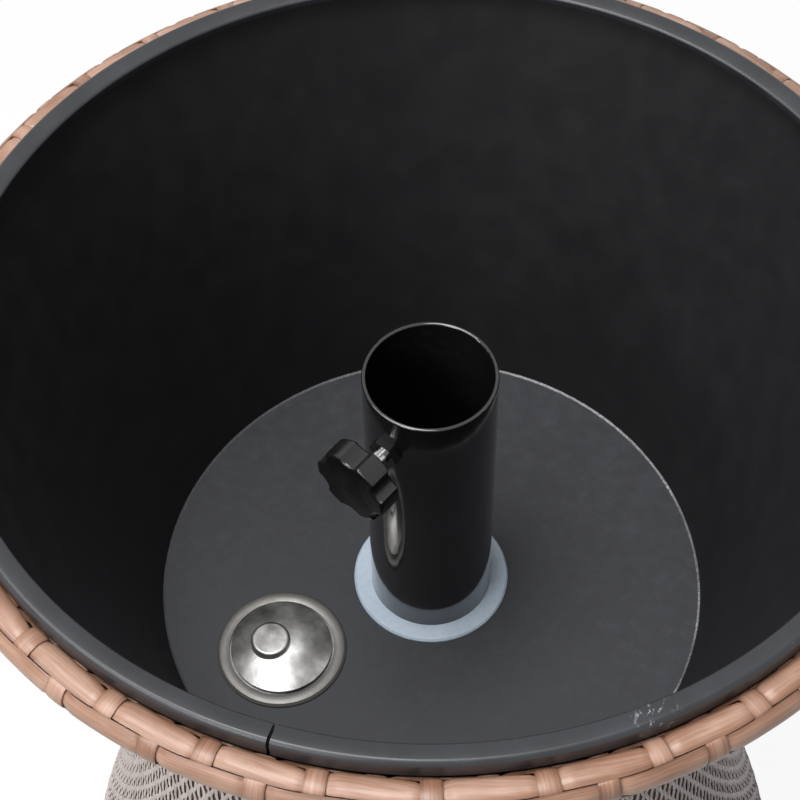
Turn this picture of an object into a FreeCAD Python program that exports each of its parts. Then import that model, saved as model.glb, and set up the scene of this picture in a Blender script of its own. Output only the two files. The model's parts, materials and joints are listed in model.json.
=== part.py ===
import FreeCAD, Part
import Sketcher
import math
import os
import types

# Round woven cooler table: an hourglass wicker body on a steel frame, a tapered bucket with a
# drain and a clamped umbrella sleeve, and a lift-off lid that leans against the back.
# Millimetres and degrees, +Z up, origin on the ground on the table's axis, the clamp in front.

DRIVING_SIZES = (
    ("total_height", 550.0, "ground to the top of the bucket's edge trim"),
    ("bucket_depth", 219.0, "bucket floor to the top of the trim"),
    ("floor_radius", 136.0, "inside of the bucket at its floor"),
    ("wall_flare", 67.5, "how much further out the bucket's inside is at the trim's top"),
    ("sheet_thickness", 1.5, "bucket wall and floor"),
    ("ledge_width", 8.0, "inward ledge that carries the floor disc"),
    ("seam_leg", 0.8, "sealant fillet between floor and wall"),
    ("wall_top_drop", 7.0, "trim top down to the wall's top edge"),
    ("trim_width", 9.2, "edge trim across"),
    ("trim_cover", 1.4, "trim outside the wall's top edge"),
    ("trim_skirt", 8.6, "trim height outside"),
    ("trim_lip", 5.2, "trim top down to where its inner bulge turns in"),
    ("trim_outer_round", 2.6, "rounding of the trim's outer edge"),
    ("trim_inner_round", 1.5, "rounding of the trim's inner edge"),
    ("trim_top_fall", 1.7, "how far the trim's top falls towards the inside"),
    ("trim_seam_angle", 0.35, "gap between the trim's two ends"),
    ("trim_seam_azimuth", 254.0, "where the trim's ends meet"),
    ("fit_gap", 0.1, "clearance of pieces that touch"),
    ("piece_gap", 0.3, "clearance of curved pieces side by side"),
    ("rim_tube_radius", 6.2, "top ring of the frame"),
    ("rim_ring_out", 6.4, "trim's outer edge out to the top ring's centre line"),
    ("rim_top_drop", 7.0, "trim top down to the top of the rim's weave"),
    ("strip_thickness", 1.0, "flat wicker strip"),
    ("stake_width", 8.0, "short strap round the rim"),
    ("stake_count", 66, "straps round the rim"),
    ("inner_row_end", 194.0, "rim rows in degrees round the tube, from outward"),
    ("inner_row_start", 140.0, "lower end of the inner row's sweep"),
    ("top_row_end", 138.0, "inner edge of the top row"),
    ("top_row_start", 60.0, "outer edge of the top row"),
    ("outer_row_end", 58.0, "upper edge of the outer row"),
    ("outer_row_start", -22.0, "lower edge of the outer row"),
    ("under_row_end", -24.0, "outer edge of the row underneath"),
    ("under_row_start", -100.0, "inner edge of the row underneath"),
    ("binding_radius", 1.7, "cord under the rim"),
    ("binding_angle", -70.0, "where that cord lies, seen from the rim tube"),
    ("rib_radius", 2.5, "frame ribs of the bowl"),
    ("leg_radius", 3.0, "frame ribs of the base"),
    ("rib_count", 6, "ribs in each half of the frame"),
    ("weave_thickness", 4.2, "woven skin of the body"),
    ("bowl_bend_drop", 40.0, "trim top down to where the skin turns out to the rim"),
    ("bowl_top_drop", 24.7, "trim top down to the skin's upper edge"),
    ("bowl_top_reach", 1.3, "skin's upper edge outside the rim tube's centre line"),
    ("rib_end_drop", 3.4, "rim tube's centre line down to the ribs' ends"),
    ("rib_turn_run", 3.0, "where a rib's bend starts, before and after its corner"),
    ("waist_drop", 4.0, "bucket floor down to the waist"),
    ("waist_tube_radius", 3.0, "middle ring of the frame"),
    ("spoke_width", 8.0, "square bars under the bucket"),
    ("spoke_reach", 1.3, "bar ends past the middle ring's centre line"),
    ("base_radius", 222.0, "outside of the base at the ground"),
    ("flare_arc_radius", 1430.0, "curve of the base's outline"),
    ("base_tube_radius", 7.0, "bottom ring of the frame"),
    ("foot_height", 6.0, "ground to the bottom ring"),
    ("foot_radius", 7.0, "glide under the bottom ring"),
    ("foot_cup", 3.0, "how far a glide reaches up round the ring"),
    ("hem_height", 2.6, "ground to the hem cord"),
    ("hem_radius", 2.4, "cord along the base's lower edge"),
    ("centre_foot_radius", 28.0, "rubber block under the base bars' crossing"),
    ("base_bar_width", 20.0, "flat bars across the base"),
    ("base_bar_thickness", 5.0, "flat bars across the base"),
    ("sleeve_radius", 30.0, "umbrella sleeve outside"),
    ("sleeve_bore", 28.0, "umbrella sleeve inside"),
    ("sleeve_rise", 168.5, "bucket floor to the top of the sleeve"),
    ("stop_thickness", 3.0, "plate that closes the sleeve's foot"),
    ("gasket_radius", 39.0, "white gasket outside"),
    ("gasket_thickness", 1.8, "white gasket"),
    ("hub_radius", 45.0, "collar under the bucket"),
    ("hub_height", 10.0, "collar under the bucket"),
    ("clamp_rise", 145.0, "bucket floor to the clamp screw"),
    ("clamp_azimuth", 231.0, "direction that the clamp screw points"),
    ("bolt_radius", 4.0, "clamp screw"),
    ("bolt_clearance", 0.05, "clamp screw in its nut"),
    ("nut_flats", 13.0, "clamp nut across flats"),
    ("nut_height", 3.5, "clamp nut"),
    ("sleeve_hole_radius", 4.3, "screw hole in the sleeve"),
    ("pad_radius", 3.4, "pad at the screw's tip"),
    ("pad_thickness", 1.6, "pad at the screw's tip"),
    ("pad_setback", 0.4, "pad behind the sleeve's bore"),
    ("knob_start", 43.5, "sleeve axis to the back of the knob"),
    ("knob_thickness", 12.0, "star knob"),
    ("knob_radius", 18.5, "star knob"),
    ("knob_lobes", 6, "star knob"),
    ("knob_notch_radius", 6.5, "hollow between two lobes"),
    ("knob_notch_centre", 22.3, "knob axis to a hollow's centre"),
    ("knob_edge", 1.5, "rounding of the knob's edges"),
    ("knob_socket_depth", 9.0, "screw inside the knob"),
    ("drain_x", -74.0, "drain's place"),
    ("drain_y", -42.6, "drain's place"),
    ("flange_radius", 32.0, "drain flange"),
    ("flange_thickness", 2.2, "drain flange"),
    ("flange_crown", 0.4, "how far the flange's ring swells"),
    ("flange_step_radius", 26.0, "hollow that the stopper lies in"),
    ("drain_bore", 19.0, "drain tube inside"),
    ("drain_tube_radius", 22.0, "drain tube outside"),
    ("drain_tube_length", 28.0, "bucket floor down to the drain tube's end"),
    ("drain_hole_radius", 22.3, "hole in the bucket floor"),
    ("washer_radius", 31.0, "drain washer"),
    ("washer_thickness", 2.0, "drain washer"),
    ("locknut_radius", 33.0, "drain locknut"),
    ("locknut_height", 7.5, "drain locknut"),
    ("stopper_radius", 25.0, "domed drain stopper"),
    ("stopper_edge", 1.2, "stopper's edge thickness"),
    ("stopper_crown", 5.0, "how far the dome rises"),
    ("stopper_plug_radius", 17.5, "plug under the dome"),
    ("stopper_plug_depth", 9.0, "plug under the dome"),
    ("seal_thickness", 1.2, "rubber ring under the dome"),
    ("stopper_knob_radius", 9.75, "button on the dome"),
    ("stopper_knob_height", 4.6, "button on the dome"),
    ("stopper_knob_shift", 5.0, "button away from the dome's middle"),
    ("lid_seal_width", 8.0, "lid's rubber ring across"),
    ("lid_seal_thickness", 1.5, "lid's rubber ring"),
    ("lid_panel_thickness", 2.0, "black panel under the lid"),
    ("lid_spoke_width", 7.0, "square bars in the lid"),
    ("lid_spoke_count", 4, "square bars in the lid"),
    ("lid_bead_drop", 0.4, "lid's underside up to its edge weave"),
    ("lid_weave_thickness", 3.5, "woven top of the lid"),
    ("lid_edge_sweep", 120.0, "edge weave round the lid tube, each way from outward"),
    ("lid_hole_radius", 28.5, "pole hole through the lid"),
    ("grommet_radius", 33.2, "grommet in the lid"),
    ("grommet_flange", 39.0, "grommet's flange"),
    ("grommet_flange_height", 2.2, "grommet's flange"),
    ("grommet_lip", 2.3, "grommet's clip lip past its body"),
    ("lid_hub_radius", 38.0, "ring that holds the grommet"),
    ("lean_angle", 24.0, "lid's lean from upright"),
)


class Size:
    """A length, angle or count: its value now, and the sheet expression that gives it."""

    def __init__(self, text, value):
        self.text = text
        self.value = value

    def __add__(self, other):
        other = as_size(other)
        return Size(f"({self.text} + {other.text})", self.value + other.value)

    def __sub__(self, other):
        other = as_size(other)
        return Size(f"({self.text} - {other.text})", self.value - other.value)

    def __mul__(self, other):
        other = as_size(other)
        return Size(f"({self.text} * {other.text})", self.value * other.value)

    def __truediv__(self, other):
        other = as_size(other)
        return Size(f"({self.text} / {other.text})", self.value / other.value)


def as_size(number):
    if isinstance(number, Size):
        return number
    return Size(f"({number!r})", float(number))


def root(size):
    return Size(f"sqrt({size.text})", math.sqrt(size.value))


def sine(angle):
    return Size(f"sin({angle.text})", math.sin(math.radians(angle.value)))


def cosine(angle):
    return Size(f"cos({angle.text})", math.cos(math.radians(angle.value)))


def half_of(first, second):
    return (first + second) / 2


doc = FreeCAD.newDocument("cooler_table")
sheet = doc.addObject("Spreadsheet::Sheet", "sizes")
for row, (alias, number, meaning) in enumerate(DRIVING_SIZES, start=1):
    sheet.set(f"A{row}", alias)
    sheet.set(f"B{row}", str(number))
    sheet.set(f"C{row}", meaning)
    sheet.setAlias(f"B{row}", alias)
doc.recompute()
dim = types.SimpleNamespace(
    **{alias: Size(f"sizes.{alias}", float(sheet.get(alias))) for alias, _, _ in DRIVING_SIZES}
)
zero = as_size(0)
sub_parts = []


def keep(piece, name):
    """Make an object one of the table's sub-parts, under its own name."""
    piece.Label = name
    sub_parts.append(piece)
    return piece


def bind(piece, **sizes):
    for name, size in sizes.items():
        piece.setExpression(name, as_size(size).text)


def upright(height):
    return FreeCAD.Placement(FreeCAD.Vector(0, 0, height.value), FreeCAD.Rotation())


def turned(azimuth):
    """A turn about the table's axis, by a plain number of degrees."""
    return FreeCAD.Placement(FreeCAD.Vector(), FreeCAD.Rotation(FreeCAD.Vector(0, 0, 1), azimuth))


# Sketches and bodies

def new_body(name):
    return doc.addObject("PartDesign::Body", name)


def new_sketch(body, role):
    plane = next(item for item in body.Origin.OriginFeatures if item.Role == role)
    sketch = body.newObject("Sketcher::SketchObject", f"{body.Name}_sketch")
    sketch.AttachmentSupport = [(plane, "")]
    sketch.MapMode = "FlatFace"
    return sketch


def place_point(sketch, curve, end, across, up):
    """Hold a point of a sketch at two sizes from the sketch's origin."""
    for kind, axis, size in (("DistanceX", -2, as_size(across)), ("DistanceY", -1, as_size(up))):
        if size.value == 0 and "sizes." not in size.text:
            sketch.addConstraint(Sketcher.Constraint("PointOnObject", curve, end, axis))
            continue
        index = sketch.addConstraint(Sketcher.Constraint(kind, -1, 1, curve, end, size.value))
        sketch.setExpression(f"Constraints[{index}]", size.text)


def flat_point(across, up):
    return FreeCAD.Vector(as_size(across).value, as_size(up).value, 0)


def draw_outline(sketch, corners, bulges=None, closed=True):
    """Outline through corners; bulges gives, by side, a point that an arc passes through."""
    bulges = bulges or {}
    first = sketch.GeometryCount
    count = len(corners) if closed else len(corners) - 1
    starts = []
    ends = []
    for side in range(count):
        corner = corners[side]
        begin = flat_point(*corner)
        finish = flat_point(*corners[(side + 1) % len(corners)])
        if side in bulges:
            middle = flat_point(*bulges[side])
            if (middle - begin).cross(finish - middle).z < 0:
                begin, finish = finish, begin
            curve = Part.Arc(begin, middle, finish)
        else:
            curve = Part.LineSegment(begin, finish)
        index = sketch.addGeometry(curve, False)
        forward = sketch.Geometry[index].StartPoint.isEqual(flat_point(*corner), 1e-6)
        starts.append((index, 1 if forward else 2))
        ends.append((index, 2 if forward else 1))
    for side in range(count if closed else count - 1):
        joint = starts[(side + 1) % count]
        sketch.addConstraint(Sketcher.Constraint("Coincident", *ends[side], *joint))
    for start, corner in zip(starts, corners):
        place_point(sketch, *start, *corner)
    if not closed:
        place_point(sketch, *ends[-1], *corners[-1])
    for side, middle in bulges.items():
        point = sketch.addGeometry(Part.Point(flat_point(*middle)), True)
        place_point(sketch, point, 1, *middle)
        sketch.addConstraint(Sketcher.Constraint("PointOnObject", point, 1, first + side))


def draw_circle(sketch, radius, across=zero, up=zero):
    centre = flat_point(across, up)
    circle = Part.Circle(centre, FreeCAD.Vector(0, 0, 1), as_size(radius).value)
    index = sketch.addGeometry(circle, False)
    place_point(sketch, index, 3, across, up)
    constraint = sketch.addConstraint(Sketcher.Constraint("Radius", index, radius.value))
    sketch.setExpression(f"Constraints[{constraint}]", radius.text)


def turned_body(name, corners, bulges=None, sweep=None):
    """A body turned about Z from an outline of (radius, height) corners."""
    body = new_body(name)
    sketch = new_sketch(body, "XZ_Plane")
    draw_outline(sketch, corners, bulges)
    turn = body.newObject("PartDesign::Revolution", f"{name}_turn")
    turn.Profile = sketch
    turn.ReferenceAxis = (sketch, ["V_Axis"])
    turn.Angle = 360
    if sweep is not None:
        bind(turn, Angle=sweep)
    sketch.Visibility = False
    body.Tip = turn
    return body


def ring_body(name, inner, outer, bottom, top):
    """A flat ring or sleeve between two radii and two heights."""
    corners = ((inner, bottom), (outer, bottom), (outer, top), (inner, top))
    return turned_body(name, corners)


def tube_ring(name, ring_radius, tube_radius, height):
    """A round rod bent into a horizontal ring."""
    ring = doc.addObject("Part::Torus", name)
    bind(ring, Radius1=ring_radius, Radius2=tube_radius)
    ring.Placement = upright(height)
    return ring


def cylinder(name, radius, height, bottom=zero):
    rod = doc.addObject("Part::Cylinder", name)
    bind(rod, Radius=radius, Height=height)
    rod.Placement = upright(as_size(bottom))
    return rod


def cut(name, base, tool):
    piece = doc.addObject("Part::Cut", name)
    piece.Base = base
    piece.Tool = tool
    return piece


def radial_bars(name, count, azimuth, reach, width, thickness, bottom):
    """Bars from the axis outwards, evenly spaced, fused where they cross."""
    bars = []
    for number in range(count):
        bar = doc.addObject("Part::Box", f"{name}_bar_{number + 1}")
        bind(bar, Length=reach, Width=width, Height=thickness)
        corner = FreeCAD.Vector(0, -width.value / 2, bottom.value)
        level = FreeCAD.Placement(corner, FreeCAD.Rotation())
        bar.Placement = turned(azimuth + number * 360 / count).multiply(level)
        bars.append(bar)
    fused = doc.addObject("Part::MultiFuse", f"{name}_bars")
    fused.Shapes = bars
    return fused


# Heights and radii that several pieces share

floor_top = dim.total_height - dim.bucket_depth
ledge_top = floor_top - dim.sheet_thickness
ledge_bottom = ledge_top - dim.sheet_thickness
wall_top = dim.total_height - dim.wall_top_drop
wall_slope = dim.wall_flare / dim.bucket_depth
slant = root(wall_slope * wall_slope + 1)
wall_width = dim.sheet_thickness * slant


def wall_inside(height):
    return dim.floor_radius + (height - floor_top) * wall_slope


def wall_outside(height):
    return wall_inside(height) + wall_width


trim_outer = wall_outside(wall_top) + dim.trim_cover
trim_inner = trim_outer - dim.trim_width
bead_radius = dim.rim_tube_radius + dim.strip_thickness * 2 + dim.fit_gap * 3
rim_radius = trim_outer + dim.rim_ring_out
rim_height = dim.total_height - dim.rim_top_drop - bead_radius
rib_offset = dim.piece_gap + dim.rib_radius * slant
skin_gap = dim.fit_gap * 2
skin_offset = rib_offset + (dim.rib_radius + skin_gap) * slant
skin_width = dim.weave_thickness * slant
bend_height = dim.total_height - dim.bowl_bend_drop
skin_top = dim.total_height - dim.bowl_top_drop
skin_top_radius = rim_radius + dim.bowl_top_reach
waist_height = floor_top - dim.waist_drop


def bowl_rib_line(height):
    return wall_outside(height) + rib_offset


def bowl_inside(height):
    return wall_outside(height) + skin_offset


def bowl_outside(height):
    return bowl_inside(height) + skin_width


turn_out = (skin_top_radius - bowl_outside(bend_height)) / (skin_top - bend_height)
turn_slant = root(turn_out * turn_out + 1)


def inner_bend(depth):
    """Height at which a line that runs this deep inside the bowl's skin turns outwards."""
    return bend_height + depth * (turn_slant - slant) / (turn_out - wall_slope)


turn_half = root(
    (slant * turn_slant - wall_slope * turn_out - 1) / (slant * turn_slant + wall_slope * turn_out + 1)
)
waist_radius = bowl_outside(waist_height)
flare_run = dim.base_radius - waist_radius
flare_chord = root(flare_run * flare_run + waist_height * waist_height)
flare_bow = root(dim.flare_arc_radius * dim.flare_arc_radius - flare_chord * flare_chord / 4)
flare_centre = half_of(waist_radius, dim.base_radius) + flare_bow * waist_height / flare_chord
flare_centre_height = waist_height / 2 + flare_bow * flare_run / flare_chord


def flare_line(height, inset):
    """Radius of the base's curved outline, or of a line a given distance inside it."""
    reach = dim.flare_arc_radius + inset
    drop = height - flare_centre_height
    return flare_centre - root(reach * reach - drop * drop)


skin_backing = dim.weave_thickness + skin_gap
spoke_top = ledge_bottom
spoke_bottom = spoke_top - dim.spoke_width
waist_ring_height = spoke_bottom - dim.waist_tube_radius
waist_ring_radius = flare_line(waist_ring_height, skin_backing + dim.waist_tube_radius)
base_ring_height = dim.foot_height + dim.base_tube_radius
base_ring_radius = flare_line(base_ring_height, skin_backing + dim.base_tube_radius)
base_bar_top = base_ring_height + dim.base_bar_thickness / 2
base_bar_bottom = base_bar_top - dim.base_bar_thickness
sleeve_bottom = base_bar_top + dim.stop_thickness
sleeve_top = floor_top + dim.sleeve_rise

rib_total = int(dim.rib_count.value)
stake_total = int(dim.stake_count.value)
stake_pitch = 360 / stake_total
front_azimuth = 270.0
rib_azimuth = front_azimuth + stake_pitch / 2
spoke_total = rib_total // 2
spoke_azimuth = rib_azimuth + 90


# Bucket

def make_bucket_wall():
    """Tapered sheet wall with an inward ledge at its foot."""
    ledge_inner = dim.floor_radius - dim.ledge_width
    corners = (
        (ledge_inner, ledge_bottom),
        (wall_outside(ledge_bottom), ledge_bottom),
        (wall_outside(wall_top), wall_top),
        (wall_inside(wall_top), wall_top),
        (wall_inside(ledge_top), ledge_top),
        (ledge_inner, ledge_top),
    )
    return keep(turned_body("liner_wall", corners), "liner_wall")


def make_bucket_floor():
    """Disc on the ledge, with the sleeve's hole and the drain's hole."""
    body = new_body("liner_floor")
    sketch = new_sketch(body, "XY_Plane")
    draw_circle(sketch, wall_inside(ledge_top) - dim.fit_gap)
    draw_circle(sketch, dim.sleeve_radius + dim.piece_gap)
    draw_circle(sketch, dim.drain_hole_radius, dim.drain_x, dim.drain_y)
    pad = body.newObject("PartDesign::Pad", "liner_floor_pad")
    pad.Profile = sketch
    bind(pad, Length=dim.sheet_thickness)
    body.Tip = pad
    body.Placement = upright(ledge_top)
    return keep(body, "liner_floor")


def make_floor_seam():
    """Sealant fillet in the corner between floor and wall."""
    seam_top = floor_top + dim.seam_leg
    corners = (
        (dim.floor_radius - dim.seam_leg, floor_top),
        (wall_inside(floor_top), floor_top),
        (wall_inside(seam_top), seam_top),
    )
    return keep(turned_body("floor_seam", corners), "floor_seam")


def make_trim():
    """Rounded edge strip with a slot for the wall's edge, split at one place."""
    top = dim.total_height
    outer_round = dim.trim_outer_round
    inner_round = dim.trim_inner_round
    inner_top = top - dim.trim_top_fall
    slot_top = wall_top + dim.fit_gap * 2
    skirt = dim.total_height - dim.trim_skirt
    lip = dim.total_height - dim.trim_lip
    tuck = lip - dim.trim_width * 0.4
    corners = (
        (trim_outer, skirt),
        (trim_outer, top - outer_round),
        (trim_outer - outer_round, top),
        (trim_inner + inner_round, inner_top),
        (trim_inner, inner_top - inner_round),
        (trim_inner, lip),
        (wall_inside(tuck) - dim.fit_gap, tuck),
        (wall_inside(slot_top) - dim.fit_gap, slot_top),
        (wall_outside(slot_top) + dim.fit_gap, slot_top),
        (wall_outside(skirt) + dim.fit_gap, skirt),
    )
    # Each rounding bulges to the middle of a quarter circle; the top falls in a flat curve.
    short_of_corner = 1 - math.sqrt(0.5)
    outer_cut = outer_round * short_of_corner
    inner_cut = inner_round * short_of_corner
    top_middle = half_of(trim_outer - outer_round, trim_inner + inner_round)
    bulges = {
        1: (trim_outer - outer_cut, top - outer_cut),
        2: (top_middle, top - dim.trim_top_fall / 4),
        3: (trim_inner + inner_cut, inner_top - inner_cut),
    }
    sweep = as_size(360) - dim.trim_seam_angle
    body = turned_body("rim_trim", corners, bulges, sweep)
    body.Placement = turned(dim.trim_seam_azimuth.value + dim.trim_seam_angle.value / 2)
    return keep(body, "rim_trim")


# Frame

def make_frame_rings():
    top = tube_ring("frame_top_ring", rim_radius, dim.rim_tube_radius, rim_height)
    waist = tube_ring("frame_waist_ring", waist_ring_radius, dim.waist_tube_radius, waist_ring_height)
    base = tube_ring("frame_base_ring", base_ring_radius, dim.base_tube_radius, base_ring_height)
    keep(top, "frame_top_ring")
    keep(waist, "frame_waist_ring")
    keep(base, "frame_base_ring")
    return top, waist, base


def bowl_rib_route():
    """Corners of a rib's centre line, and the middle of the arc between its two straight runs."""
    corner_height = inner_bend(skin_backing + dim.rib_radius)
    corner_radius = bowl_rib_line(corner_height)
    run = dim.rib_turn_run
    end_height = rim_height - dim.rib_end_drop
    corners = (
        (bowl_rib_line(waist_ring_height), waist_ring_height),
        (corner_radius - run * wall_slope / slant, corner_height - run / slant),
        (corner_radius + run * turn_out / turn_slant, corner_height + run / turn_slant),
        (corner_radius + (end_height - corner_height) * turn_out, end_height),
    )
    half_slant = root(turn_half * turn_half + 1)
    inwards = run * half_slant * (half_slant - 1) / (turn_half * turn_half * 2)
    middle = (
        corner_radius + inwards * (turn_out / turn_slant - wall_slope / slant),
        corner_height - inwards * (turn_slant - slant) / (turn_slant * slant),
    )
    return corners, middle


def make_bowl_rib(number, top_ring, waist_ring):
    """Rod up the bucket wall from beside the waist ring, bent out to the top ring."""
    name = f"bowl_rib_{number + 1}"
    corners, middle = bowl_rib_route()
    body = new_body(f"{name}_rod")
    path = new_sketch(body, "XZ_Plane")
    draw_outline(path, corners, {1: middle}, closed=False)
    doc.recompute()
    section = body.newObject("Sketcher::SketchObject", f"{name}_section")
    section.AttachmentSupport = [(path, "Edge1")]
    section.MapMode = "NormalToEdge"
    draw_circle(section, dim.rib_radius)
    rod = body.newObject("PartDesign::AdditivePipe", f"{name}_pipe")
    rod.Profile = section
    rod.Spine = path
    body.Tip = rod
    body.Placement = turned(rib_azimuth + number * 360 / rib_total)
    coped = cut(f"{name}_foot", body, waist_ring)
    return keep(cut(name, coped, top_ring), name)


def make_base_rib(number):
    """Rod along the inside of the flared skin, butted on the waist ring and the bottom ring."""
    bend_radius = dim.flare_arc_radius + skin_backing
    run = base_ring_radius - waist_ring_radius
    drop = waist_ring_height - base_ring_height
    chord = root(run * run + drop * drop)
    bow = root(bend_radius * bend_radius - chord * chord / 4)
    centre_radius = half_of(waist_ring_radius, base_ring_radius) + bow * drop / chord
    centre_height = half_of(waist_ring_height, base_ring_height) + bow * run / chord
    half_sweep = chord / bend_radius / 2
    waist_trim = (dim.waist_tube_radius + dim.fit_gap) / bend_radius
    base_trim = (dim.base_tube_radius + dim.fit_gap) / bend_radius
    rod = doc.addObject("Part::Torus", f"base_rib_{number + 1}")
    bind(rod, Radius1=bend_radius, Radius2=dim.leg_radius)
    sweep = f"2 * asin({half_sweep.text}) - asin({waist_trim.text}) - asin({base_trim.text})"
    rod.setExpression("Angle3", sweep)
    tilt = math.atan2(run.value, drop.value)
    start = tilt - math.asin(half_sweep.value) + math.asin(waist_trim.value)
    spin = FreeCAD.Rotation(FreeCAD.Vector(0, 0, 1), 180 + math.degrees(start))
    stand = FreeCAD.Rotation(FreeCAD.Vector(1, 0, 0), 90)
    centre = FreeCAD.Vector(centre_radius.value, 0, centre_height.value)
    local = FreeCAD.Placement(centre, stand.multiply(spin))
    rod.Placement = turned(rib_azimuth + number * 360 / rib_total).multiply(local)
    return keep(rod, f"base_rib_{number + 1}")


def make_hub():
    hub = ring_body(
        "sleeve_hub",
        dim.sleeve_radius + dim.fit_gap,
        dim.hub_radius,
        ledge_top - dim.hub_height,
        ledge_top,
    )
    return keep(hub, "sleeve_hub")


def make_bucket_spokes():
    """Square bars from the hub to the waist ring; the bucket's ledge stands on them."""
    reach = waist_ring_radius + dim.spoke_reach
    bars = radial_bars(
        "bucket_spokes",
        spoke_total,
        spoke_azimuth,
        reach,
        dim.spoke_width,
        dim.spoke_width,
        spoke_bottom,
    )
    core = cylinder("bucket_spokes_core", dim.hub_radius, dim.total_height)
    return keep(cut("bucket_spokes", bars, core), "bucket_spokes")


def make_base_spider(base_ring):
    """Flat bars across the base, which carry the foot of the sleeve."""
    bars = radial_bars(
        "base_spider",
        spoke_total,
        spoke_azimuth,
        base_ring_radius,
        dim.base_bar_width,
        dim.base_bar_thickness,
        base_bar_bottom,
    )
    return keep(cut("base_spider", bars, base_ring), "base_spider")


def make_centre_foot():
    """Rubber block that carries the bars' crossing under the sleeve."""
    block = cylinder("centre_foot", dim.centre_foot_radius, base_bar_bottom)
    return keep(block, "centre_foot")


def make_foot(number):
    """Glide that cups the underside of the bottom ring."""
    name = f"foot_glide_{number + 1}"
    blank = cylinder(f"{name}_blank", dim.foot_radius, dim.foot_height + dim.foot_cup)
    azimuth = rib_azimuth + number * 360 / rib_total
    out = FreeCAD.Placement(FreeCAD.Vector(base_ring_radius.value, 0, 0), FreeCAD.Rotation())
    blank.Placement = turned(azimuth).multiply(out)
    hollow = tube_ring(
        f"{name}_hollow",
        base_ring_radius,
        dim.base_tube_radius + dim.fit_gap / 2,
        base_ring_height,
    )
    return keep(cut(name, blank, hollow), name)


# Sleeve and clamp

def on_clamp_axis(distance):
    """Placement whose +Z runs outwards along the clamp screw, from a distance off the axis."""
    lift = FreeCAD.Vector(distance.value, 0, (floor_top + dim.clamp_rise).value)
    level = FreeCAD.Placement(lift, FreeCAD.Rotation(FreeCAD.Vector(0, 1, 0), 90))
    return turned(dim.clamp_azimuth.value).multiply(level)


def make_sleeve():
    """Round tube from the base bars up into the bucket, its top edge rounded.

    One hole lets the clamp screw through.
    """
    edge_middle = half_of(dim.sleeve_bore, dim.sleeve_radius)
    shoulder = sleeve_top - (dim.sleeve_radius - dim.sleeve_bore) / 2
    tube_corners = (
        (dim.sleeve_bore, sleeve_bottom),
        (dim.sleeve_radius, sleeve_bottom),
        (dim.sleeve_radius, shoulder),
        (dim.sleeve_bore, shoulder),
    )
    tube = turned_body("umbrella_sleeve_tube", tube_corners, {2: (edge_middle, sleeve_top)})
    drill = cylinder("umbrella_sleeve_drill", dim.sleeve_hole_radius, dim.sleeve_radius * 2)
    drill.Placement = on_clamp_axis(zero)
    return keep(cut("umbrella_sleeve", tube, drill), "umbrella_sleeve")


def make_pole_stop():
    stop = cylinder("pole_stop", dim.sleeve_radius, dim.stop_thickness, base_bar_top)
    return keep(stop, "pole_stop")


def make_gasket():
    """White ring on the bucket floor, with a rounded-off outer edge."""
    edge = dim.gasket_thickness / 2
    inner = dim.sleeve_radius + dim.fit_gap / 2
    top = floor_top + dim.gasket_thickness
    corners = (
        (inner, floor_top),
        (dim.gasket_radius, floor_top),
        (dim.gasket_radius, top - edge),
        (dim.gasket_radius - edge, top),
        (inner, top),
    )
    return keep(turned_body("sleeve_gasket", corners), "sleeve_gasket")


def make_clamp_nut():
    """Hexagon nut welded over the sleeve's hole, its foot shaped to the tube."""
    body = new_body("clamp_nut_blank")
    sketch = new_sketch(body, "XY_Plane")
    corner_reach = dim.nut_flats / math.sqrt(3)
    corners = []
    for number in range(6):
        angle = math.radians(60 * number + 30)
        corners.append((corner_reach * math.cos(angle), corner_reach * math.sin(angle)))
    draw_hexagon(sketch, corners)
    draw_circle(sketch, dim.bolt_radius + dim.bolt_clearance)
    pad = body.newObject("PartDesign::Pad", "clamp_nut_pad")
    pad.Profile = sketch
    base_sink = dim.nut_flats / 4
    bind(pad, Length=dim.nut_height + base_sink)
    body.Tip = pad
    body.Placement = on_clamp_axis(dim.sleeve_radius - base_sink)
    tube = cylinder("clamp_nut_tube", dim.sleeve_radius, dim.total_height)
    return keep(cut("clamp_nut", body, tube), "clamp_nut")


def draw_hexagon(sketch, corners):
    """Closed outline about the sketch's origin, its corners on either side of both axes."""
    count = len(corners)
    for side in range(count):
        begin = flat_point(*corners[side])
        finish = flat_point(*corners[(side + 1) % count])
        sketch.addGeometry(Part.LineSegment(begin, finish), False)
    for side in range(count):
        sketch.addConstraint(Sketcher.Constraint("Coincident", side, 2, (side + 1) % count, 1))
        place_point(sketch, side, 1, *corners[side])


def make_clamp_bolt():
    """Screw from the sleeve's wall into the knob, with a chamfered tip."""
    tip = dim.sleeve_bore + dim.pad_setback + dim.pad_thickness + dim.fit_gap
    length = dim.knob_start + dim.knob_socket_depth - tip
    chamfer = dim.bolt_radius / 5
    corners = (
        (zero, zero),
        (dim.bolt_radius - chamfer, zero),
        (dim.bolt_radius, chamfer),
        (dim.bolt_radius, length),
        (zero, length),
    )
    body = turned_body("clamp_bolt", corners)
    body.Placement = on_clamp_axis(tip)
    return keep(body, "clamp_bolt")


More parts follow.
